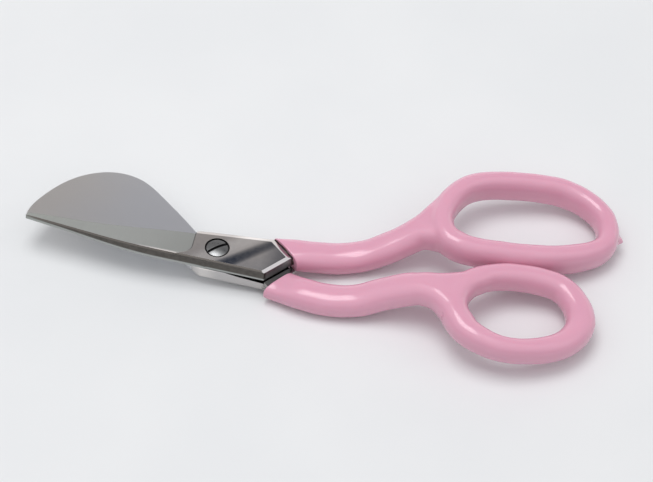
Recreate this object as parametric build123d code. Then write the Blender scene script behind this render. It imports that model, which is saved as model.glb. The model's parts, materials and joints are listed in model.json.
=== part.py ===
"""Duckbill (paddle-bill) applique scissors, 6 inch, right-handed, resting closed on a flat surface.

Design frame: the blades point along -X, the handles along +X, and the two steel halves rub on the plane
z = 0, crossed by the pivot close to the origin. The knife half lies above that plane, the bill half below.
place() turns the finished pieces into the resting pose: +Z up, origin under the middle of the box.
"""
from build123d import *
import os
from math import cos, radians, sin

# --- Driving dimensions, mm ---
REST_TILT = 5.0            # the blades rise this many degrees from the table, the offset handles lie on it
RUB_GAP = 0.05             # each steel half stays this far from the rubbing plane

PLATE_THICK = 3.5          # each half at the pivot
PLATE_DRAFT = 2.0          # degrees, ground sides of the pivot plates
PLATE_BEVEL = 0.3          # broken edge all round a plate's outer face
PLATE_FOOT_BEVEL = 0.2
RIM_BEVEL_DEPTH = 0.5      # the wider ground bevels of the knife plate fall this far
RIM_BEVEL_FAR = 1.2        # width of those away from the cutting side
RIM_BEVEL_NEAR = 0.75      # width of the one on the lower side of the chevron
COLLAR_THICK = 2.8         # bare steel between a plate's chevron and the coat

PIVOT_AT = (0.0, -0.85)    # plan place of the pivot screw
SCREW_HEAD_D = 5.6
SCREW_HEAD_EDGE = 1.15
SCREW_HEAD_CROWN = 0.4
RECESS_D = 6.4
RECESS_DEPTH = 1.35
SHOULDER_D = 4.0
SHOULDER_CLEARANCE = 0.04  # radial, running fit in the knife half
THREAD_D = 3.5
SLOT_WIDTH = 0.75
SLOT_DEPTH = 0.65
SLOT_TURN = 42.0           # degrees from the blade line

KNIFE_LEAN = 0.15          # the spine leans out by this much at its foot
KNIFE_EDGE_THICK = 0.2
KNIFE_SPINE_BEVEL = 0.35
BILL_THICK = 1.1
BILL_RAMP_END = -2.6       # under the bill plate, a ramp rises from here
BILL_RAMP_ANGLE = 20.0     # at this many degrees towards the paddle
BILL_CROWN_RADIUS = 230.0  # the paddle is a shallow trough, this radius about a line along the blades
BACK_RELIEF = 1.3          # the rubbing faces part by this much at the chevron
BACK_RELIEF_X = 3.0        # and start to part here, just behind the pivot

COAT = 0.9                 # dipped vinyl over the steel handles
BOW_COAT_MARGIN = 0.6      # bare steel left between the chevron and the bow's coat
RING_COAT_MARGIN = 2.1     # and between the chevron and the ring's coat
NECK_CLEARANCE = 0.5       # between one half's chevron and the other half's rising neck
LOOP_HEIGHT = 9.1          # loop centre line above the rubbing plane at x = LOOP_X
LOOP_X = 61.0
LOOP_SLOPE = 0.057         # the loops come down towards their far ends
BOW_BAR = (6.2, 8.2)       # coated bar of the finger bow: width in plan, height
RING_BAR = (6.4, 7.5)      # coated bar of the thumb ring
DRIP_RADIUS = 1.0          # the last drop of vinyl, left on the end of the bow
DRIP_LENGTH = 1.9
DRIP_AT = (97.6, 25.3)     # plan point on the bar's centre line that it hangs from

# Plan of the knife plate's top face: the chevron's two corners and its point, then the blade end
CHEVRON_LOW = (13.3, -5.8)
CHEVRON_TIP = (19.0, 0.9)
CHEVRON_HIGH = (13.4, 5.9)
KNIFE_PLATE_END = ((-6.6, 3.8), (-6.4, -3.2), (-10.5, -5.3))
KNIFE_PLATE_RADII = (1.6, 2.8)   # rounded upper corner, hollow run-out towards the spine

# Plan of the bill plate's outer face, seen from the knife side
BILL_PLATE_END = ((-8.0, 4.6), (-8.5, -3.6), (-3.5, -5.6))
BILL_CHEVRON_LOW = (13.3, -6.0)
BILL_CHEVRON_HIGH = (13.6, 5.2)

# Knife blade stations: x, spine y, cutting edge y, thickness at the spine
KNIFE_STATIONS = (
    (-50.8, -0.6, 1.2, 0.9),
    (-41.0, -2.0, 1.8, 1.6),
    (-31.0, -3.6, 2.4, 2.3),
    (-22.0, -4.8, 3.4, 2.9),
    (-12.0, -5.3, 4.7, 3.1),
    (-2.0, -5.6, 5.2, 3.1),
)

# Paddle outline: the round outer edge from the tip to the plate, and the straight cutting edge
BILL_TIP = (-51.1, 0.2)
BILL_CURVE = ((-51.0, 2.6), (-48.8, 8.5), (-44.4, 15.3), (-39.1, 19.8), (-33.1, 22.0),
              (-26.2, 21.2), (-18.2, 15.7), (-12.7, 11.0))
BILL_ROOT = (-6.5, 5.4)
BILL_EDGE_ROOT = (-5.0, -3.2)

# Handle stations along the shanks: x, y, z, width in plan, height, all over the coat
BOW_SHANK = (
    (11.0, 2.8, 1.4, 6.6, 4.6),
    (18.0, 3.9, 1.1, 7.9, 5.8),
    (25.0, 5.0, 0.2, 8.3, 6.8),
    (31.0, 6.4, -0.1, 8.4, 7.0),
    (38.0, 8.3, 1.2, 8.4, 7.0),
    (45.0, 11.2, 4.4, 8.4, 7.2),
    (50.5, 14.2, 7.1, 8.8, 7.4),
    (56.0, 18.2, 8.8, 11.0, 7.2),
)
RING_SHANK = (
    (11.0, -3.2, -1.9, 6.8, 4.4),
    (18.0, -5.2, -1.6, 8.4, 5.2),
    (24.0, -7.1, -0.5, 8.4, 6.6),
    (31.0, -7.7, -0.1, 8.4, 7.0),
    (38.0, -7.0, 1.2, 8.4, 7.0),
    (45.0, -5.4, 4.4, 8.4, 7.2),
    (52.0, -4.8, 7.6, 8.8, 7.4),
    (58.0, -6.0, 8.9, 11.0, 7.4),
    (62.0, -7.5, 9.0, 14.0, 7.0),
)
BOW_LOOP = ((54.6, 19.0), (60.0, 30.0), (71.0, 35.3), (86.0, 37.4), (96.0, 31.6),
            (97.0, 21.5), (88.0, 14.6), (72.0, 10.7), (58.8, 10.6))
RING_LOOP = ((61.2, -8.2), (66.0, 0.3), (76.5, 4.6), (88.0, 3.7), (93.3, -5.0),
             (88.8, -14.0), (76.5, -18.9), (65.8, -15.9))

BIG = 60.0                 # a block larger than any stretch it trims
ON_BASE = (Align.CENTER, Align.CENTER, Align.MIN)
UNDER_TOP = (Align.CENTER, Align.CENTER, Align.MAX)


# --- Handles ---
def loop_z(x):
    """Height of the loops' common sloping plane."""
    return LOOP_HEIGHT - LOOP_SLOPE * (x - LOOP_X)


def oval_tube(stations, shrink):
    """A tapering oval bar through the stations, each side taken in by shrink."""
    centres = [Vector(x, y, z) for x, y, z, _, _ in stations]
    line = Spline(*centres)
    ovals = []
    for (_, _, _, width, height), centre in zip(stations, centres):
        along = line.tangent_at(line.param_at_point(centre))
        side = Vector(-along.Y, along.X, 0)
        frame = Plane(origin=centre, x_dir=side, z_dir=along)
        ovals.append(frame * Ellipse(width / 2 - shrink, height / 2 - shrink))
    return loft(ovals)


def oval_ring(plan, bar, shrink):
    """A closed oval bar whose centre line follows the plan points on the loops' plane."""
    width, height = bar
    line = Spline(*[Vector(x, y, loop_z(x)) for x, y in plan], periodic=True)
    along = line.tangent_at(0)
    upright = Vector(LOOP_SLOPE, 0, 1).normalized()
    frame = Plane(origin=line.position_at(0), x_dir=upright.cross(along), z_dir=along)
    return sweep(frame * Ellipse(width / 2 - shrink, height / 2 - shrink), path=line)


def handle(stations, plan, bar, shrink):
    """Shank and loop of one handle, shrunk by the coat's thickness for the steel inside."""
    return oval_tube(stations, shrink) + oval_ring(plan, bar, shrink)


def outward_of(corner):
    """Unit vector square to the chevron edge that runs from its tip to corner, pointing at the handles."""
    edge = Vector(*corner, 0) - Vector(*CHEVRON_TIP, 0)
    outward = Vector(0, 0, 1).cross(edge).normalized()
    return outward if outward.X > 0 else -outward


def block_ahead(corner, margin):
    """A big block on the blade side of a chevron edge, reaching margin beyond it."""
    outward = outward_of(corner)
    frame = Plane(origin=Vector(*CHEVRON_TIP, 0) + outward * margin, z_dir=outward)
    return frame * Box(2 * BIG, 2 * BIG, BIG, align=UNDER_TOP)


def coat(stations, plan, bar, corner, margin):
    """The dipped vinyl shell, ending in a straight edge parallel to the chevron."""
    shell = handle(stations, plan, bar, 0) - handle(stations, plan, bar, COAT)
    return shell - block_ahead(corner, margin)


def drip():
    """The last drop of vinyl at the far end of the bow: a small rounded nub."""
    x, y = DRIP_AT
    root = Vector(x + BOW_BAR[0] / 2 - DRIP_LENGTH / 2, y, loop_z(x))
    cone = Cone(DRIP_RADIUS * 1.6, DRIP_RADIUS * 0.7, DRIP_LENGTH, align=ON_BASE)
    return Pos(root) * Rot(0, 90, 0) * fillet(cone.faces().sort_by(Axis.Z)[-1].edges(), DRIP_RADIUS * 0.5)


# --- Pivot plates ---
def rim_bevel(start, end, width):
    """The block to cut away above a flat bevel along the outer face's edge from start to end."""
    near = Vector(*start, PLATE_THICK)
    along = (Vector(*end, PLATE_THICK) - near).normalized()
    inward = Vector(0, 0, 1).cross(along)
    slope = inward * width + Vector(0, 0, RIM_BEVEL_DEPTH)
    frame = Plane(origin=near + inward * width, x_dir=along, z_dir=along.cross(slope))
    return frame * Box(2 * BIG, 2 * BIG, BIG, align=ON_BASE)


def plate(outline, radii):
    """A pivot plate with drafted sides, a bevelled rim and a broken foot."""
    face = make_face(Polyline(*outline, close=True))
    for (x, y), radius in radii:
        corner = face.vertices().sort_by_distance(Vector(x, y, 0))[0]
        face = fillet(corner, radius)
    solid = extrude(Pos(0, 0, PLATE_THICK) * face, amount=-(PLATE_THICK - RUB_GAP), taper=-PLATE_DRAFT)
    solid = chamfer(solid.faces().sort_by(Axis.Z)[-1].edges(), PLATE_BEVEL)
    return chamfer(solid.faces().sort_by(Axis.Z)[0].edges(), PLATE_FOOT_BEVEL)


def collar(corner, far_corner, margin):
    """Bare steel from a chevron edge to the edge of the coat."""
    tip = Vector(*CHEVRON_TIP, 0)
    end = Vector(*corner, 0)
    reach = outward_of(corner) * margin
    outline = (tip, tip + reach, end + reach, end, Vector(*far_corner, 0))
    face = make_face(Polyline(*outline, close=True))
    return extrude(Pos(0, 0, RUB_GAP) * face, amount=COLLAR_THICK - RUB_GAP)


# --- Knife half ---
def knife_section(x, spine, edge, thick):
    """Cross-section of the knife blade: flat below, a plane slope down to the edge, bevelled spine."""
    points = (
        (spine - KNIFE_LEAN, RUB_GAP),
        (edge, RUB_GAP),
        (edge, RUB_GAP + KNIFE_EDGE_THICK),
        (spine + KNIFE_SPINE_BEVEL, thick),
        (spine, thick - KNIFE_SPINE_BEVEL),
    )
    across = Plane(origin=(x, 0, 0), x_dir=(0, 1, 0), z_dir=(1, 0, 0))
    return across * make_face(Polyline(*points, close=True))


def knife_half():
    blade = loft([knife_section(*station) for station in KNIFE_STATIONS])
    outline = (CHEVRON_LOW, CHEVRON_TIP, CHEVRON_HIGH, *KNIFE_PLATE_END)
    radii = tuple(zip(KNIFE_PLATE_END[:2], KNIFE_PLATE_RADII))
    head = plate(outline, radii)
    head -= rim_bevel(CHEVRON_LOW, CHEVRON_TIP, RIM_BEVEL_NEAR)
    head -= rim_bevel(CHEVRON_TIP, CHEVRON_HIGH, RIM_BEVEL_FAR)
    head -= rim_bevel(CHEVRON_HIGH, KNIFE_PLATE_END[0], RIM_BEVEL_FAR)
    neck = collar(CHEVRON_HIGH, CHEVRON_LOW, BOW_COAT_MARGIN)
    core = handle(BOW_SHANK, BOW_LOOP, BOW_BAR, COAT)
    below = Pos(0, 0, RUB_GAP) * Box(4 * BIG, 2 * BIG, BIG, align=UNDER_TOP)
    core -= block_ahead(BILL_CHEVRON_HIGH, NECK_CLEARANCE) & below
    core -= block_ahead(CHEVRON_HIGH, 0) & block_ahead(CHEVRON_LOW, 0)
    half = blade + head + neck + core
    half -= Pos(*PIVOT_AT, PLATE_THICK) * Cylinder(RECESS_D / 2, 2 * RECESS_DEPTH)
    half -= Pos(*PIVOT_AT, 0) * Cylinder(SHOULDER_D / 2 + SHOULDER_CLEARANCE, 4 * PLATE_THICK)
    return half


# --- Bill half ---
def paddle():
    """The wide blade: its outline cut from a shallow trough of even thickness."""
    curve = Spline(BILL_TIP, *BILL_CURVE, BILL_ROOT)
    straight = Polyline(BILL_ROOT, BILL_EDGE_ROOT, BILL_TIP)
    blank = extrude(Pos(0, 0, -BIG / 2) * make_face(curve + straight), amount=BIG)
    centre = Pos(0, 0, -RUB_GAP - BILL_CROWN_RADIUS) * Rot(0, 90, 0)
    inside = Cylinder(BILL_CROWN_RADIUS - BILL_THICK, 4 * BIG)
    trough = centre * (Cylinder(BILL_CROWN_RADIUS, 4 * BIG) - inside)
    upper = Pos(0, 0, -BIG / 4) * Box(4 * BIG, 2 * BIG, BIG / 2)
    return blank & trough & upper


def bill_half():
    outline = (BILL_CHEVRON_LOW, CHEVRON_TIP, BILL_CHEVRON_HIGH, *BILL_PLATE_END)
    head = mirror(plate(outline, ()), about=Plane.XY)
    ramp_foot = Pos(BILL_RAMP_END, 0, -PLATE_THICK) * Rot(0, BILL_RAMP_ANGLE, 0)
    head -= ramp_foot * Box(BIG, 2 * BIG, BIG, align=(Align.MAX, Align.CENTER, Align.MAX))
    neck = mirror(collar(BILL_CHEVRON_LOW, BILL_CHEVRON_HIGH, RING_COAT_MARGIN), about=Plane.XY)
    core = handle(RING_SHANK, RING_LOOP, RING_BAR, COAT)
    above = Pos(0, 0, -RUB_GAP) * Box(4 * BIG, 2 * BIG, BIG, align=ON_BASE)
    core -= block_ahead(CHEVRON_LOW, NECK_CLEARANCE) & above
    core -= block_ahead(BILL_CHEVRON_LOW, 0) & block_ahead(BILL_CHEVRON_HIGH, 0)
    relief = make_face(Polyline(
        (BACK_RELIEF_X, 0), (CHEVRON_TIP[0], 0), (CHEVRON_TIP[0], -BACK_RELIEF), (BACK_RELIEF_X, -RUB_GAP),
        close=True))
    wedge = extrude(Plane.XZ * relief, amount=BIG, both=True) & block_ahead(CHEVRON_LOW, NECK_CLEARANCE)
    hole = Pos(*PIVOT_AT, 0) * Cylinder(THREAD_D / 2, 4 * PLATE_THICK)
    return paddle() + (head + neck + core - wedge) - hole


# --- Pivot screw ---
def pivot_screw():
    seat = PLATE_THICK - RECESS_DEPTH + RUB_GAP
    rim = seat + SCREW_HEAD_EDGE
    crown_radius = (SCREW_HEAD_D ** 2 / 4 + SCREW_HEAD_CROWN ** 2) / (2 * SCREW_HEAD_CROWN)
    head = Pos(0, 0, seat) * Cylinder(SCREW_HEAD_D / 2, BIG / 4, align=ON_BASE)
    head &= Pos(0, 0, rim + SCREW_HEAD_CROWN - crown_radius) * Sphere(crown_radius)
    slot = Box(2 * SCREW_HEAD_D, SLOT_WIDTH, 2 * SLOT_DEPTH)
    slot = Pos(0, 0, rim + SCREW_HEAD_CROWN) * Rot(0, 0, SLOT_TURN) * slot
    shoulder = Pos(0, 0, -RUB_GAP) * Cylinder(SHOULDER_D / 2, seat + RUB_GAP, align=ON_BASE)
    thread = Pos(0, 0, -PLATE_THICK) * Cylinder(THREAD_D / 2, PLATE_THICK - RUB_GAP, align=ON_BASE)
    return Pos(*PIVOT_AT, 0) * (head - slot + shoulder + thread)


# --- Assembly in the resting pose ---
def place(pieces):
    """Tilt the closed scissors onto the table and set the origin under the middle of their box."""
    tilted = {name: Rot(0, REST_TILT, 0) * piece for name, piece in pieces.items()}
    boxes = [piece.bounding_box() for piece in tilted.values()]
    low = [min(getattr(box.min, axis) for box in boxes) for axis in "XYZ"]
    high = [max(getattr(box.max, axis) for box in boxes) for axis in "XYZ"]
    shift = Pos(-(low[0] + high[0]) / 2, -(low[1] + high[1]) / 2, -low[2])
    return {name: shift * piece for name, piece in tilted.items()}, shift


bow_drip = drip() - handle(BOW_SHANK, BOW_LOOP, BOW_BAR, COAT)
pieces = {
    "knife_half": knife_half(),
    "bill_half": bill_half(),
    "pivot_screw": pivot_screw(),
    "bow_grip": coat(BOW_SHANK, BOW_LOOP, BOW_BAR, CHEVRON_HIGH, BOW_COAT_MARGIN) + bow_drip,
    "thumb_grip": coat(RING_SHANK, RING_LOOP, RING_BAR, BILL_CHEVRON_LOW, RING_COAT_MARGIN),
}
placed, shift = place(pieces)
os.makedirs("parts", exist_ok=True)
for name, piece in placed.items():
    export_step(piece, f"parts/{name}.step")

pivot = (shift * Rot(0, REST_TILT, 0) * Pos(*PIVOT_AT, 0)).position
axis = Vector(sin(radians(REST_TILT)), 0, cos(radians(REST_TILT)))
print("pivot at", [round(v, 4) for v in pivot], "axis", [round(v, 6) for v in axis])
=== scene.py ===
"""Duckbill applique scissors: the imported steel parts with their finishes, and the dipped vinyl handles.

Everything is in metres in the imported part's frame. Handle shapes are written in the tool's own frame, in
millimetres: origin beside the pivot on the plane where the halves rub, -X along the blades, +Z to the knife.
"""
import bmesh
import bpy
import json
import math
from mathutils import Matrix, Vector
from mathutils.bvhtree import BVHTree


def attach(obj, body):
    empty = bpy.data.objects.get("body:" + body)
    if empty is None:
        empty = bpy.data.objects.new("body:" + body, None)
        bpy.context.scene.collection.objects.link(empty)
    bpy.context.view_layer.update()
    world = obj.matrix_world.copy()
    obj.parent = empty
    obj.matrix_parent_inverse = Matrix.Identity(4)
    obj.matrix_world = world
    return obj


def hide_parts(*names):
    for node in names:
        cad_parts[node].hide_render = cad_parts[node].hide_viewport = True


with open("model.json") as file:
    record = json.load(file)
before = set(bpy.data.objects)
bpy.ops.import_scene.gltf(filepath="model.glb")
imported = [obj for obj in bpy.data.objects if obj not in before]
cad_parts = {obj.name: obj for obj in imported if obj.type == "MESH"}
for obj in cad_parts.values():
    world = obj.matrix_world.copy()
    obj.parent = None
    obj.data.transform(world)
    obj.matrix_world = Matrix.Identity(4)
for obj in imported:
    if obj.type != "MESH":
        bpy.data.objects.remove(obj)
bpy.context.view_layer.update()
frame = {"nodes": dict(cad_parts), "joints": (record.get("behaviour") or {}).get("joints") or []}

MM = 0.001

# --- The tool's own frame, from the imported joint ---
joint = frame["joints"][0]
pivot = Vector(joint["pos_m"])
PIVOT_Y = -0.85 * MM
tool_up = -Vector(joint["axis"]).normalized()
tool_y = Vector((0, 1, 0))
tool_x = tool_y.cross(tool_up).normalized()
origin = pivot - tool_y * PIVOT_Y
TOOL = Matrix.Translation(origin) @ Matrix((tool_x, tool_y, tool_up)).transposed().to_4x4()

# --- Vinyl handles: driving sizes, mm ---
LOOP_HEIGHT = 9.1
LOOP_X = 61.0
LOOP_SLOPE = 0.057
OVAL_POWER = 2.25          # 2 is an ellipse, more is squarer
SQUARE_POWER = 3.0         # at the coat's start, where it lies on the flat steel
SQUARE_FROM, SQUARE_TO = 14.0, 26.0
VOXEL = 0.3
RELAX_STEPS = 10
WEB_ROUNDS = 70
RIM_ROUND = 0.25
SAG = 0.05                 # height of the dip's long soft unevenness
COVER = 0.28               # vinyl over the steel core, at the least, from COVER_FROM on
COVER_FROM = 24.0
CHEVRON_TIP = (19.0, 0.9)
CHEVRON_LOW = (13.3, -6.0)
CHEVRON_HIGH = (13.4, 5.9)
BOW_COAT_MARGIN = 0.6
RING_COAT_MARGIN = 2.1


def loop_z(x):
    """Height of the loops' common sloping plane, in the tool's frame."""
    return LOOP_HEIGHT - LOOP_SLOPE * (x - LOOP_X)


# Shank stations: x, y, z, width in plan, height
BOW_SHANK = (
    (11.0, 2.7, 1.2, 7.6, 5.0),
    (18.0, 3.8, 0.8, 8.3, 6.0),
    (25.0, 5.2, 0.2, 8.5, 6.9),
    (31.0, 6.6, -0.1, 8.5, 7.1),
    (38.0, 8.6, 1.2, 8.3, 7.1),
    (45.0, 11.5, 4.4, 8.2, 7.3),
)
BOW_TO_TOP = BOW_SHANK + (
    (50.5, 15.6, 7.1, 7.6, 7.4), (54.0, 20.6, 8.7, 6.8, 7.8), (57.0, 26.4, 9.2, 6.2, 8.0))
BOW_TO_WEB = BOW_SHANK + ((50.5, 14.4, 7.1, 8.4, 7.2), (55.0, 17.4, 8.6, 9.6, 7.0))
BOW_TO_BOTTOM = BOW_SHANK + (
    (50.5, 13.6, 7.1, 7.4, 7.4), (57.0, 12.2, 8.8, 6.2, 7.8), (62.0, 10.6, 9.0, 5.4, 7.6))
RING_SHANK = (
    (11.0, -3.6, -1.9, 8.8, 5.0),
    (18.0, -5.2, -1.6, 8.8, 5.4),
    (24.0, -7.1, -0.5, 8.6, 6.8),
    (31.0, -7.7, -0.1, 8.5, 7.1),
    (38.0, -7.0, 1.2, 8.5, 7.1),
    (45.0, -5.4, 4.4, 8.5, 7.3),
    (52.0, -4.8, 7.6, 8.5, 7.4),
)
RING_TO_TOP = RING_SHANK + (
    (58.0, -4.2, 8.9, 7.6, 7.4), (64.0, -1.6, 9.0, 6.4, 7.2), (69.0, 2.2, 8.7, 5.8, 7.0))
RING_TO_WEB = RING_SHANK + ((57.0, -5.6, 8.9, 9.0, 7.2), (61.0, -7.6, 9.0, 9.6, 7.0))
RING_TO_BOTTOM = RING_SHANK + (
    (57.5, -6.8, 8.9, 7.6, 7.4), (61.4, -10.8, 9.0, 6.8, 7.2), (65.4, -15.1, 8.8, 6.2, 7.0))

# Loop centre lines: x, y, width in plan, height
BOW_LOOP = (
    (54.8, 19.0, 6.6, 8.0), (59.7, 30.3, 6.4, 8.4), (70.5, 35.6, 6.2, 8.4), (86.0, 37.5, 6.2, 8.4),
    (96.4, 31.7, 6.0, 8.0), (97.5, 21.5, 5.9, 8.0), (88.0, 14.5, 6.4, 8.4), (72.0, 10.6, 6.4, 8.4),
    (58.8, 10.6, 6.6, 8.2),
)
RING_LOOP = (
    (61.4, -8.2, 7.4, 7.6), (66.0, 0.3, 6.4, 7.4), (76.5, 4.7, 6.3, 7.4), (88.1, 3.9, 6.6, 7.2),
    (93.4, -5.0, 7.4, 7.2), (88.8, -14.0, 6.4, 7.0), (76.5, -18.9, 5.5, 7.0), (65.7, -16.1, 6.8, 7.2),
)
BOW_DROPS = ((100.9, 25.3, 6.9, 1.3), (102.0, 25.2, 6.8, 0.65))     # the last drip: x, y, z, radius


# --- Mesh helpers ---
def spline_rows(rows, per_span, closed):
    """Catmull-Rom through rows of numbers, every column interpolated alike."""
    count = len(rows)
    out = []
    for i in range(count if closed else count - 1):
        if closed:
            a, b, c, d = (rows[(i + k) % count] for k in (-1, 0, 1, 2))
        else:
            a, b, c, d = (rows[min(max(i + k, 0), count - 1)] for k in (-1, 0, 1, 2))
        for j in range(per_span):
            t = j / per_span
            out.append(tuple(
                0.5 * (2 * q + (r - p) * t + (2 * p - 5 * q + 4 * r - s) * t * t
                       + (3 * q - p - 3 * r + s) * t ** 3)
                for p, q, r, s in zip(a, b, c, d)))
    if not closed:
        out.append(tuple(rows[-1]))
    return out


def oval_power(x):
    """How square the bar's section is at x along the tool."""
    t = min(max((x - SQUARE_FROM) / (SQUARE_TO - SQUARE_FROM), 0), 1)
    return SQUARE_POWER + (OVAL_POWER - SQUARE_POWER) * t * t * (3 - 2 * t)


def tube(bm, rows, closed, sides=40, per_span=14):
    """Sweep an upright superoval along rows of (x, y, z, width, height), in the tool's frame."""
    line = spline_rows(rows, per_span, closed)
    rings = []
    for i, (x, y, z, width, height) in enumerate(line):
        ahead = line[(i + 1) % len(line)] if closed or i + 1 < len(line) else line[i]
        behind = line[i - 1] if closed or i else line[i]
        along = (Vector(ahead[:3]) - Vector(behind[:3])).normalized()
        side = Vector((-along.y, along.x, 0)).normalized()
        up = along.cross(side)
        ring = []
        power = 2 / oval_power(x)
        for k in range(sides):
            a = 2 * math.pi * k / sides
            c, s = math.cos(a), math.sin(a)
            u = math.copysign(abs(c) ** power, c) * width / 2
            v = math.copysign(abs(s) ** power, s) * height / 2
            ring.append(bm.verts.new(Vector((x, y, z)) + side * u + up * v))
        rings.append(ring)
    pairs = list(zip(rings, rings[1:])) + ([(rings[-1], rings[0])] if closed else [])
    for first, second in pairs:
        for k in range(sides):
            bm.faces.new((first[k], first[(k + 1) % sides], second[(k + 1) % sides], second[k]))
    if not closed:
        bm.faces.new(rings[0][::-1])
        bm.faces.new(rings[-1])


def outward_of(corner):
    """Unit vector square to a chevron edge, pointing at the handles."""
    edge = Vector((corner[0] - CHEVRON_TIP[0], corner[1] - CHEVRON_TIP[1], 0))
    outward = Vector((0, 0, 1)).cross(edge).normalized()
    return outward if outward.x > 0 else -outward


def fill_web(bm, centre, radius):
    """Fill the creases between the bars near centre, as the dip does, without thinning the bars."""
    near = [v for v in bm.verts if (v.co - centre).length < radius]
    around = [[e.other_vert(v) for e in v.link_edges] for v in near]
    for _ in range(WEB_ROUNDS):
        bm.normal_update()
        steps = []
        for vert, others in zip(near, around):
            step = sum((o.co for o in others), Vector()) / len(others) - vert.co
            rise = step.dot(vert.normal)
            steps.append(step - vert.normal * rise if rise < 0 else step)
        for vert, step in zip(near, steps):
            vert.co += step * 0.7


def cover_core(bm, core):
    """Move the coat out wherever less than COVER of it lies over the steel core."""
    mesh = frame["nodes"][core].data
    into_tool = (TOOL @ Matrix.Scale(MM, 4)).inverted()
    tree = BVHTree.FromPolygons([into_tool @ v.co for v in mesh.vertices],
                                [tuple(p.vertices) for p in mesh.polygons])
    for vert in bm.verts:
        if vert.co.x > COVER_FROM:
            place, normal, _, _ = tree.find_nearest(vert.co)
            if (vert.co - place).dot(normal) < COVER:
                vert.co = place + normal * COVER


def sag(p):
    """The dip's unevenness at p, from -1 to 1: long soft swells with no straight lines."""
    along = math.sin(0.52 * p.x + 1.4 * math.sin(0.29 * p.y + 0.4))
    across = math.sin(0.43 * p.y + 0.5 * p.z + 0.7)
    slanting = math.sin(0.95 * p.x - 0.7 * p.y + 1.1 * math.sin(0.5 * p.z))
    return 0.6 * along * across + 0.4 * slanting


def round_rim(bm, outward, steps=5):
    """Close the trimmed end with a rounded edge and a flat face."""
    edges = [e for e in bm.edges if e.is_boundary]
    follow = {}
    for edge in edges:
        for vert in edge.verts:
            follow.setdefault(vert, []).append(edge.other_vert(vert))
    rim = [edges[0].verts[0], edges[0].verts[1]]
    while True:
        ahead = [v for v in follow[rim[-1]] if v is not rim[-2]][0]
        if ahead is rim[0]:
            break
        rim.append(ahead)
    bm.normal_update()
    outs = [(v.normal - outward * v.normal.dot(outward)).normalized() for v in rim]
    base = [v.co.copy() for v in rim]
    last = rim
    for i in range(1, steps + 1):
        a = math.pi / 2 * i / steps
        drop, reach = RIM_ROUND * (1 - math.cos(a)), RIM_ROUND * math.sin(a)
        ring = [bm.verts.new(p - n * drop - outward * reach) for p, n in zip(base, outs)]
        for k in range(len(ring)):
            m = (k + 1) % len(ring)
            bm.faces.new((last[k], last[m], ring[m], ring[k]))
        last = ring
    bm.faces.new(last)


def grip(name, body, node, core, tubes, drops, webs, corner, margin):
    """One dipped coat: overlapping bars fused by a voxel remesh, webbed, relaxed and trimmed at its edge."""
    bm = bmesh.new()
    for rows, closed in tubes:
        tube(bm, rows, closed)
    for x, y, z, radius in drops:
        bmesh.ops.create_uvsphere(bm, u_segments=24, v_segments=16, radius=radius,
                                  matrix=Matrix.Translation((x, y, z)))
    bmesh.ops.recalc_face_normals(bm, faces=bm.faces)
    mesh = bpy.data.meshes.new(name)
    bm.to_mesh(mesh)
    bm.free()
    piece = bpy.data.objects.new(name, mesh)
    bpy.context.scene.collection.objects.link(piece)
    fuse = piece.modifiers.new("fuse", "REMESH")
    fuse.mode = "VOXEL"
    fuse.voxel_size = VOXEL
    relax = piece.modifiers.new("relax", "SMOOTH")
    relax.factor = 0.5
    relax.iterations = RELAX_STEPS
    dg = bpy.context.evaluated_depsgraph_get()
    fused = bpy.data.meshes.new_from_object(piece.evaluated_get(dg))
    piece.modifiers.clear()

    bm = bmesh.new()
    bm.from_mesh(fused)
    for centre, radius in webs:
        fill_web(bm, Vector(centre), radius)
    cover_core(bm, core)
    for _ in range(4):
        bmesh.ops.smooth_vert(bm, verts=bm.verts, factor=0.5,
                              use_axis_x=True, use_axis_y=True, use_axis_z=True)
    bm.normal_update()
    for vert in bm.verts:
        vert.co += vert.normal * SAG * sag(vert.co)
        vert.co.z -= min((TOOL @ (vert.co * MM)).z, 0) / MM
    outward = outward_of(corner)
    foot = Vector((*CHEVRON_TIP, 0)) + outward * (margin + RIM_ROUND)
    bmesh.ops.bisect_plane(bm, geom=bm.verts[:] + bm.edges[:] + bm.faces[:], plane_co=foot,
                           plane_no=outward, clear_inner=True, dist=1e-4)
    bmesh.ops.remove_doubles(bm, verts=[v for v in bm.verts if v.is_boundary], dist=0.03)
    round_rim(bm, outward)
    bmesh.ops.recalc_face_normals(bm, faces=bm.faces)
    bmesh.ops.transform(bm, matrix=TOOL @ Matrix.Scale(MM, 4), verts=bm.verts)
    bm.to_mesh(mesh)
    bm.free()
    for polygon in mesh.polygons:
        polygon.use_smooth = len(polygon.vertices) < 9
    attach(piece, body)
    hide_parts(node)
    return piece


# --- Materials ---
EDGE_SOFT = 0.05 * MM      # how far the steel's edges are rounded over
SCREW_EDGE_SOFT = 0.15 * MM
SWELL_TURN = math.radians(42.0)      # a polishing swell crosses the plate at this angle to the blades
SWELL_HALF = 2.0 * MM
SWELL_HEIGHT = 0.09 * MM
SWELL_THROUGH = Vector((7.74, -1.16, 0)) * MM
SWELL_AT = -(Matrix.Rotation(-SWELL_TURN, 3, "Z") @ SWELL_THROUGH)
PAINTED_HIGHLIGHT_AT = 4.0 * MM       # a painted highlight, a lighter band in the base colour, runs beside the swell, this far from it
PAINTED_HIGHLIGHT_CORE, PAINTED_HIGHLIGHT_HALF = 0.5 * MM, 3.6 * MM
RECESS_R = 3.23 * MM       # the screw's recess, just over its real radius, with painted shade below this height
RECESS_BELOW = 3.35 * MM
HEAD_EDGE = (3.18 * MM, 3.26 * MM)   # painted shade darkens the screw head below these heights
TURNING_MARKS = 42000.0    # radians a metre of the lathe's faint rings


def material(name):
    made = bpy.data.materials.new(name)
    made.use_nodes = True
    made.node_tree.nodes.clear()
    return made, made.node_tree


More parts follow.
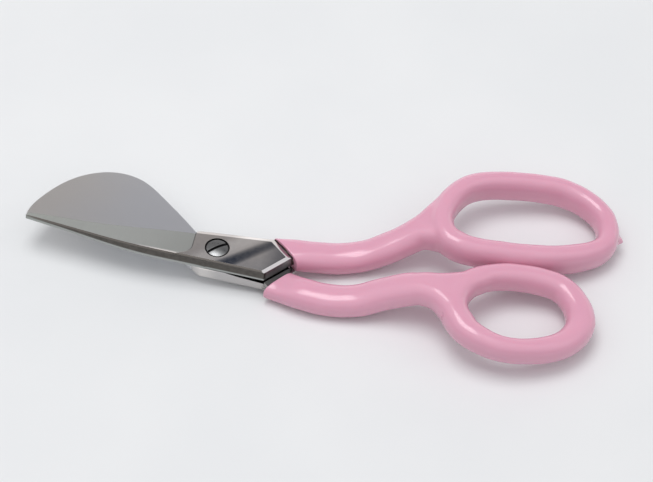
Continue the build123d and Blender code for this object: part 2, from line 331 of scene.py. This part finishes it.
class Nodes:
    """Short calls for wiring a node tree."""

    def __init__(self, tree):
        self.tree = tree

    def add(self, kind, inputs=None, **settings):
        node = self.tree.nodes.new(kind)
        for key, value in settings.items():
            setattr(node, key, value)
        for key, value in (inputs or {}).items():
            if isinstance(value, bpy.types.NodeSocket):
                self.tree.links.new(value, node.inputs[key])
            else:
                node.inputs[key].default_value = value
        return node

    def math(self, operation, first, second=0.0):
        return self.add("ShaderNodeMath", {0: first, 1: second}, operation=operation).outputs[0]

    def vector(self, operation, first, second):
        return self.add("ShaderNodeVectorMath", {0: first, 1: second}, operation=operation).outputs[0]

    def inverse(self, value):
        return self.math("SUBTRACT", 1.0, value)

    def ramp(self, factor, low, high):
        """0 below low, 1 above high, smooth between."""
        node = self.add("ShaderNodeMapRange", {0: factor, 1: low, 2: high}, interpolation_type="SMOOTHSTEP")
        return node.outputs[0]

    def noise(self, vector, scale, detail=3.0, rough=0.5):
        node = self.add("ShaderNodeTexNoise", {"Vector": vector, "Scale": scale, "Detail": detail,
                                               "Roughness": rough})
        return node.outputs["Fac"]

    def mix(self, factor, first, second):
        node = self.add("ShaderNodeMix", data_type="RGBA")
        for socket, value in ((node.inputs[0], factor), (node.inputs[6], first), (node.inputs[7], second)):
            if isinstance(value, bpy.types.NodeSocket):
                self.tree.links.new(value, socket)
            else:
                socket.default_value = value
        return node.outputs[2]

    def finish(self, shader):
        self.add("ShaderNodeOutputMaterial", {"Surface": shader})


def tool_place(n):
    """Place in the tool's own frame, in metres; how far the surface faces up the pivot axis; its normal."""
    coord = n.add("ShaderNodeTexCoord")
    back = TOOL.inverted()
    place = n.add("ShaderNodeMapping", {"Vector": coord.outputs["Object"], "Location": back.to_translation(),
                                        "Rotation": back.to_euler()}).outputs[0]
    facing = n.add("ShaderNodeVectorMath", {0: coord.outputs["Normal"], 1: tuple(tool_up)},
                   operation="DOT_PRODUCT").outputs["Value"]
    return place, facing, n.add("ShaderNodeSeparateXYZ", {0: coord.outputs["Normal"]}).outputs


def vinyl():
    """Glossy dipped vinyl: even pink with faint clouds, a few darker specks and a very fine orange peel."""
    made, tree = material("pink_vinyl")
    n = Nodes(tree)
    place = n.add("ShaderNodeTexCoord").outputs["Object"]
    cloud = n.noise(place, 60.0, 2.0)
    speck = n.noise(place, 1500.0, 2.0)
    tint = n.mix(cloud, (0.715, 0.345, 0.465, 1), (0.745, 0.372, 0.492, 1))
    tint = n.mix(n.math("MULTIPLY", n.ramp(speck, 0.66, 0.80), 0.25), tint, (0.64, 0.27, 0.38, 1))
    peel = n.noise(place, 1800.0, 2.0)
    bump = n.add("ShaderNodeBump", {"Strength": 0.2, "Distance": 0.000008, "Height": peel})
    gloss = n.add("ShaderNodeMapRange", {0: cloud, 1: 0.3, 2: 0.7, 3: 0.18, 4: 0.24}).outputs[0]
    shader = n.add("ShaderNodeBsdfPrincipled", {
        "Base Color": tint, "Roughness": gloss, "IOR": 1.5, "Normal": bump.outputs[0],
        "Subsurface Weight": 0.15, "Subsurface Radius": (1.0, 0.45, 0.5), "Subsurface Scale": 0.001,
        "Coat Weight": 0.35, "Coat Roughness": 0.09})
    n.finish(shader.outputs[0])
    return made


def steel(name, is_knife):
    """One half's steel: satin blade with a painted reflection gradient along it, mirror-polished plate with a
    painted highlight band and a painted darker reflection toward the chevron, dark painted shade and
    reflection on the sides and bare neck, and on the knife half painted dark reflection on the front rim,
    painted shadow at the step and painted shade in the screw's recess.
    """
    made, tree = material(name)
    n = Nodes(tree)
    place, facing, normal = tool_place(n)
    x, y, z = n.add("ShaderNodeSeparateXYZ", {0: place}).outputs
    flat = n.ramp(n.math("ABSOLUTE", facing), 0.4, 0.62)

    across = n.add("ShaderNodeMapping", {"Vector": place, "Scale": (5200.0, 240.0, 240.0),
                                         "Rotation": (0, 0, math.radians(6.0))}).outputs[0]
    grain = n.noise(across, 1.0, 3.0, 0.6)
    cloud = n.noise(place, 60.0, 2.0)
    fine = n.noise(place, 900.0, 4.0, 0.65)
    # Painted reflection: the blade's tone shifts from the tip toward the pivot, warm to cool on the bill and
    # darker to lighter on the knife.
    painted_reflection_drift = n.ramp(n.math("ADD", x, n.math("MULTIPLY", cloud, 0.012)), -0.045, -0.012)

    if is_knife:
        satin = n.mix(painted_reflection_drift, (0.375, 0.390, 0.370, 1), (0.400, 0.412, 0.400, 1))
        plate = n.ramp(z, 0.00285, 0.00305)
    else:
        satin = n.mix(painted_reflection_drift, (0.770, 0.740, 0.720, 1), (0.745, 0.755, 0.800, 1))
        plate = n.ramp(x, -0.0062, -0.0052)
    polish_and_painted_light = n.mix(n.ramp(cloud, 0.35, 0.65), (0.64, 0.600, 0.580, 1), (0.60, 0.580, 0.590, 1))
    turned = n.add("ShaderNodeMapping", {"Vector": place, "Location": SWELL_AT,
                                         "Rotation": (0, 0, -SWELL_TURN)}, vector_type="POINT").outputs[0]
    across_swell = n.add("ShaderNodeSeparateXYZ", {0: turned}).outputs[1]
    # Painted highlight: a lighter band in the plate's base colour beside the swell.
    from_painted_highlight = n.math("ABSOLUTE", n.math("SUBTRACT", across_swell, PAINTED_HIGHLIGHT_AT))
    painted_highlight = n.inverse(n.ramp(from_painted_highlight, PAINTED_HIGHLIGHT_CORE, PAINTED_HIGHLIGHT_HALF))
    polish_and_painted_light = n.mix(painted_highlight, polish_and_painted_light, (0.90, 0.86, 0.84, 1))
    # Painted darker reflection on the level plate top toward the chevron.
    level = n.ramp(n.math("ABSOLUTE", facing), 0.93, 0.98)
    far = n.math("MULTIPLY", n.ramp(x, 0.0105, 0.0175), level)
    polish_and_painted_light = n.mix(far, polish_and_painted_light, (0.27, 0.265, 0.285, 1))
    colour = n.mix(plate, satin, polish_and_painted_light)
    # Painted dark steel: painted shade and dark reflection, put on the bare neck and on the knife's side
    # walls.
    painted_dark_steel = n.mix(n.ramp(fine, 0.3, 0.7), (0.062, 0.053, 0.046, 1), (0.098, 0.086, 0.076, 1))
    behind = []
    for corner in (CHEVRON_HIGH, CHEVRON_LOW):
        outward = outward_of(corner)
        reach = outward.dot(Vector((*CHEVRON_TIP, 0))) * MM
        span = n.add("ShaderNodeVectorMath", {0: place, 1: tuple(outward)}, operation="DOT_PRODUCT")
        behind.append(n.ramp(span.outputs["Value"], reach + 0.00005, reach + 0.00015))
    # The bare neck behind the chevron edges takes the painted dark steel as painted shade beside the coat,
    # fully on the knife and partly on the bill.
    neck = n.math("MULTIPLY", n.math("MAXIMUM", *behind), 1.0 if is_knife else 0.45)
    colour = n.mix(neck, colour, painted_dark_steel)
    if is_knife:
        # Painted dark reflection on the knife's side walls above their lower edge, weaker past the low
        # chevron corner.
        band = n.ramp(z, 0.0006, 0.0010)
        side = n.math("MULTIPLY", n.inverse(flat), band)
        end = n.ramp(x, CHEVRON_LOW[0] * MM + 0.0002, CHEVRON_LOW[0] * MM + 0.0006)
        kept = n.math("SUBTRACT", 0.92, n.math("MULTIPLY", end, 0.75))
        colour = n.mix(n.math("MULTIPLY", side, kept), colour, painted_dark_steel)
        # Painted dark reflection on the front-facing rim bevel of the knife's plate.
        slant = n.inverse(n.ramp(n.math("ABSOLUTE", facing), 0.80, 0.92))
        front = n.ramp(n.math("MULTIPLY", normal[1], -1.0), 0.50, 0.62)
        rim = n.math("MULTIPLY", n.math("MULTIPLY", slant, front), n.math("MULTIPLY", flat, band))
        colour = n.mix(rim, colour, (0.20, 0.18, 0.165, 1))
        # Painted shadow on the step faces that look toward the blade tip.
        foot = n.math("MULTIPLY", n.ramp(n.math("MULTIPLY", normal[0], -1.0), 0.3, 0.5), band)
        colour = n.mix(foot, colour, (0.13, 0.125, 0.12, 1))
        # Painted shade in the screw's recess.
        in_plan = n.vector("MULTIPLY", n.vector("SUBTRACT", place, (0, PIVOT_Y, 0)), (1, 1, 0))
        radius = n.add("ShaderNodeVectorMath", {0: in_plan}, operation="LENGTH").outputs["Value"]
        recess = n.math("MULTIPLY", n.math("LESS_THAN", radius, RECESS_R),
                        n.math("LESS_THAN", z, RECESS_BELOW))
        colour = n.mix(recess, colour, (0.10, 0.10, 0.105, 1))
    else:
        # Painted darker reflection on the bill half's side walls.
        side = n.math("MULTIPLY", n.inverse(flat), 0.45)
        colour = n.mix(side, colour, (0.36, 0.35, 0.335, 1))

    rough_blade = n.add("ShaderNodeMapRange", {0: grain, 1: 0.3, 2: 0.7, 3: 0.31, 4: 0.40}).outputs[0]
    rough_plate = n.add("ShaderNodeMapRange", {0: fine, 1: 0.3, 2: 0.7, 3: 0.08, 4: 0.12}).outputs[0]
    rough = n.add("ShaderNodeMix", {0: plate, 2: rough_blade, 3: rough_plate}, data_type="FLOAT").outputs[0]
    rough = n.math("MAXIMUM", rough, n.math("MULTIPLY", n.math("MAXIMUM", side, neck), 0.32))

    round_edge = n.add("ShaderNodeBevel", {"Radius": EDGE_SOFT}, samples=8)
    step = n.ramp(across_swell, -SWELL_HALF, SWELL_HALF)
    height = n.math("MULTIPLY", step, plate)
    wave = n.add("ShaderNodeBump", {"Strength": 1.0, "Distance": SWELL_HEIGHT, "Height": height,
                                    "Normal": round_edge.outputs[0]})
    lines = n.math("MULTIPLY", grain, n.inverse(plate))
    bump = n.add("ShaderNodeBump", {"Strength": 0.25, "Distance": 0.00001, "Height": lines,
                                    "Normal": wave.outputs[0]})
    shader = n.add("ShaderNodeBsdfPrincipled", {
        "Base Color": colour, "Metallic": 1.0, "Roughness": rough, "Normal": bump.outputs[0]})
    n.finish(shader.outputs[0])
    return made


def screw_steel():
    """Turned and polished screw steel with faint concentric marks; the slot and sides are darkened with
    painted shade.
    """
    made, tree = material("screw_steel")
    n = Nodes(tree)
    place, facing, _ = tool_place(n)
    z = n.add("ShaderNodeSeparateXYZ", {0: place}).outputs[2]
    offset = n.vector("SUBTRACT", place, (0, PIVOT_Y, 0))
    radius = n.add("ShaderNodeVectorMath", {0: offset}, operation="LENGTH").outputs["Value"]
    turned = n.math("SINE", n.math("MULTIPLY", radius, TURNING_MARKS))
    cloud = n.noise(place, 700.0, 3.0)
    height = n.math("ADD", n.math("MULTIPLY", turned, 0.15), cloud)
    round_edge = n.add("ShaderNodeBevel", {"Radius": SCREW_EDGE_SOFT}, samples=6)
    bump = n.add("ShaderNodeBump", {"Strength": 0.2, "Distance": 0.00001, "Height": height,
                                    "Normal": round_edge.outputs[0]})
    rough = n.add("ShaderNodeMapRange", {0: cloud, 1: 0.3, 2: 0.7, 3: 0.26, 4: 0.34}).outputs[0]
    tint = n.mix(cloud, (0.20, 0.205, 0.21, 1), (0.26, 0.26, 0.26, 1))
    # Painted shade on the screw head's slot walls and sides, and on the head below its edge heights.
    low = n.inverse(n.ramp(z, *HEAD_EDGE))
    upright = n.inverse(n.ramp(n.math("ABSOLUTE", facing), 0.3, 0.6))
    above = n.math("GREATER_THAN", z, 0.0)
    painted_head_shade = n.math("MULTIPLY", n.math("MAXIMUM", low, upright), above)
    tint = n.mix(painted_head_shade, tint, (0.035, 0.034, 0.036, 1))
    shader = n.add("ShaderNodeBsdfPrincipled", {
        "Base Color": tint, "Metallic": 1.0, "Roughness": rough, "Normal": bump.outputs[0]})
    n.finish(shader.outputs[0])
    return made


def dress(node, finish):
    target = frame["nodes"][node]
    target.data.materials.clear()
    target.data.materials.append(finish)


# --- Stage ---
FLOOR_REACH = 3.0
KEY_AT = (-0.07, 0.02, 0.62)
KEY_SIZE = (0.36, 0.30)
KEY_POWER = 1.5
ROOM_STRENGTH = 0.82
BEAM_HEIGHT = 0.812        # sine of the elevation of the dark beam on the back wall
BEAM_HALF = (0.012, 0.045)
WINDOW_WAY = (0.64, 0.0, 0.768)


def floor():
    """A matt white board with a barely visible tooth."""
    mesh = bpy.data.meshes.new("floor")
    corners = [(x * FLOOR_REACH, y * FLOOR_REACH, 0) for x, y in ((-1, -1), (1, -1), (1, 1), (-1, 1))]
    mesh.from_pydata(corners, [], [(0, 1, 2, 3)])
    board = bpy.data.objects.new("floor", mesh)
    bpy.context.scene.collection.objects.link(board)
    made, tree = material("white_board")
    n = Nodes(tree)
    place = n.add("ShaderNodeTexCoord").outputs["Object"]
    cloud = n.noise(place, 18.0, 3.0)
    tooth = n.noise(place, 500.0, 3.0)
    tint = n.mix(n.ramp(cloud, 0.3, 0.7), (0.772, 0.782, 0.795, 1), (0.797, 0.805, 0.815, 1))
    bump = n.add("ShaderNodeBump", {"Strength": 0.15, "Distance": 0.0002, "Height": tooth})
    shader = n.add("ShaderNodeBsdfPrincipled", {
        "Base Color": tint, "Roughness": 0.85, "Specular IOR Level": 0.2, "Normal": bump.outputs[0]})
    n.finish(shader.outputs[0])
    mesh.materials.append(made)
    return board


def key_light():
    """A large soft lamp over the table, aimed at the frame's origin."""
    data = bpy.data.lights.new("key", "AREA")
    data.shape = "RECTANGLE"
    data.size, data.size_y = KEY_SIZE
    data.energy = KEY_POWER
    lamp = bpy.data.objects.new("key", data)
    lamp.location = KEY_AT
    lamp.rotation_mode = "QUATERNION"
    lamp.rotation_quaternion = (-Vector(KEY_AT)).to_track_quat("-Z", "Y")
    bpy.context.scene.collection.objects.link(lamp)
    return lamp


def room():
    """A pale room that dims to the horizon, with a beam across its back wall and a window to the right."""
    world = bpy.data.worlds.new("room")
    bpy.context.scene.world = world
    world.use_nodes = True
    world.node_tree.nodes.clear()
    n = Nodes(world.node_tree)
    way = n.add("ShaderNodeTexCoord").outputs["Generated"]
    x, y, z = n.add("ShaderNodeSeparateXYZ", {0: way}).outputs
    tone = n.mix(n.ramp(z, 0.0, 0.85), (0.24, 0.24, 0.25, 1), (1.12, 1.13, 1.14, 1))
    back = n.ramp(y, 0.25, 0.5)
    wall = n.mix(n.ramp(z, 0.27, 0.40), (1.25, 1.24, 1.24, 1), (0.53, 0.52, 0.52, 1))
    tone = n.mix(back, tone, wall)
    beam = n.inverse(n.ramp(n.math("ABSOLUTE", n.math("SUBTRACT", z, BEAM_HEIGHT)), *BEAM_HALF))
    tone = n.mix(n.math("MULTIPLY", beam, back), tone, (0.012, 0.026, 0.055, 1))
    right = n.add("ShaderNodeVectorMath", {0: way, 1: WINDOW_WAY}, operation="DOT_PRODUCT")
    window = n.ramp(right.outputs["Value"], 0.93, 0.98)
    tone = n.mix(window, tone, (1.25, 1.25, 1.27, 1))
    light = n.add("ShaderNodeBackground", {"Color": tone, "Strength": ROOM_STRENGTH})
    n.add("ShaderNodeOutputWorld", {"Surface": light.outputs[0]})


def camera():
    """A short telephoto from the handles' front right, looking down at the table."""
    lens, distance = 85.0, 0.402
    azimuth, elevation = math.radians(10.5), math.radians(48.0)
    target = Vector((origin.x + 0.02655, origin.y + 0.01073, 0.005))
    back = Vector((math.sin(azimuth) * math.cos(elevation), -math.cos(azimuth) * math.cos(elevation),
                   math.sin(elevation)))
    data = bpy.data.cameras.new("camera")
    data.lens = lens
    data.sensor_width = 36.0
    data.clip_start = 0.01
    eye = bpy.data.objects.new("camera", data)
    eye.location = target + back * distance
    eye.rotation_mode = "QUATERNION"
    eye.rotation_quaternion = (-back).to_track_quat("-Z", "Y")
    bpy.context.scene.collection.objects.link(eye)
    bpy.context.scene.camera = eye


camera()
room()
key = key_light()
board = floor()
bpy.context.scene.view_settings.view_transform = "Standard"


def at_loop(rows):
    return [(x, y, loop_z(x), width, height) for x, y, width, height in rows]


bow = grip("bow_coat", "knife", "bow_grip", "knife_half",
           ((BOW_TO_TOP, False), (BOW_TO_WEB, False), (BOW_TO_BOTTOM, False), (at_loop(BOW_LOOP), True)),
           BOW_DROPS, (((52.5, 16.0, 8.0), 13.0),), CHEVRON_HIGH, BOW_COAT_MARGIN)
ring = grip("thumb_coat", "bill", "thumb_grip", "bill_half",
            ((RING_TO_TOP, False), (RING_TO_WEB, False), (RING_TO_BOTTOM, False), (at_loop(RING_LOOP), True)),
            (), (((60.0, -6.5, 8.8), 13.0),), CHEVRON_LOW, RING_COAT_MARGIN)
pink = vinyl()
for piece in (bow, ring):
    piece.data.materials.append(pink)
dress("knife_half", steel("knife_steel", True))
dress("bill_half", steel("bill_steel", False))
dress("pivot_screw", screw_steel())

# The key is flagged off the flat steel, which would blow out wherever it mirrors the lamp.
lit = bpy.data.collections.new("lit_by_key")
for piece in (board, bow, ring, bpy.data.objects["pivot_screw"]):
    lit.objects.link(piece)
key.light_linking.receiver_collection = lit
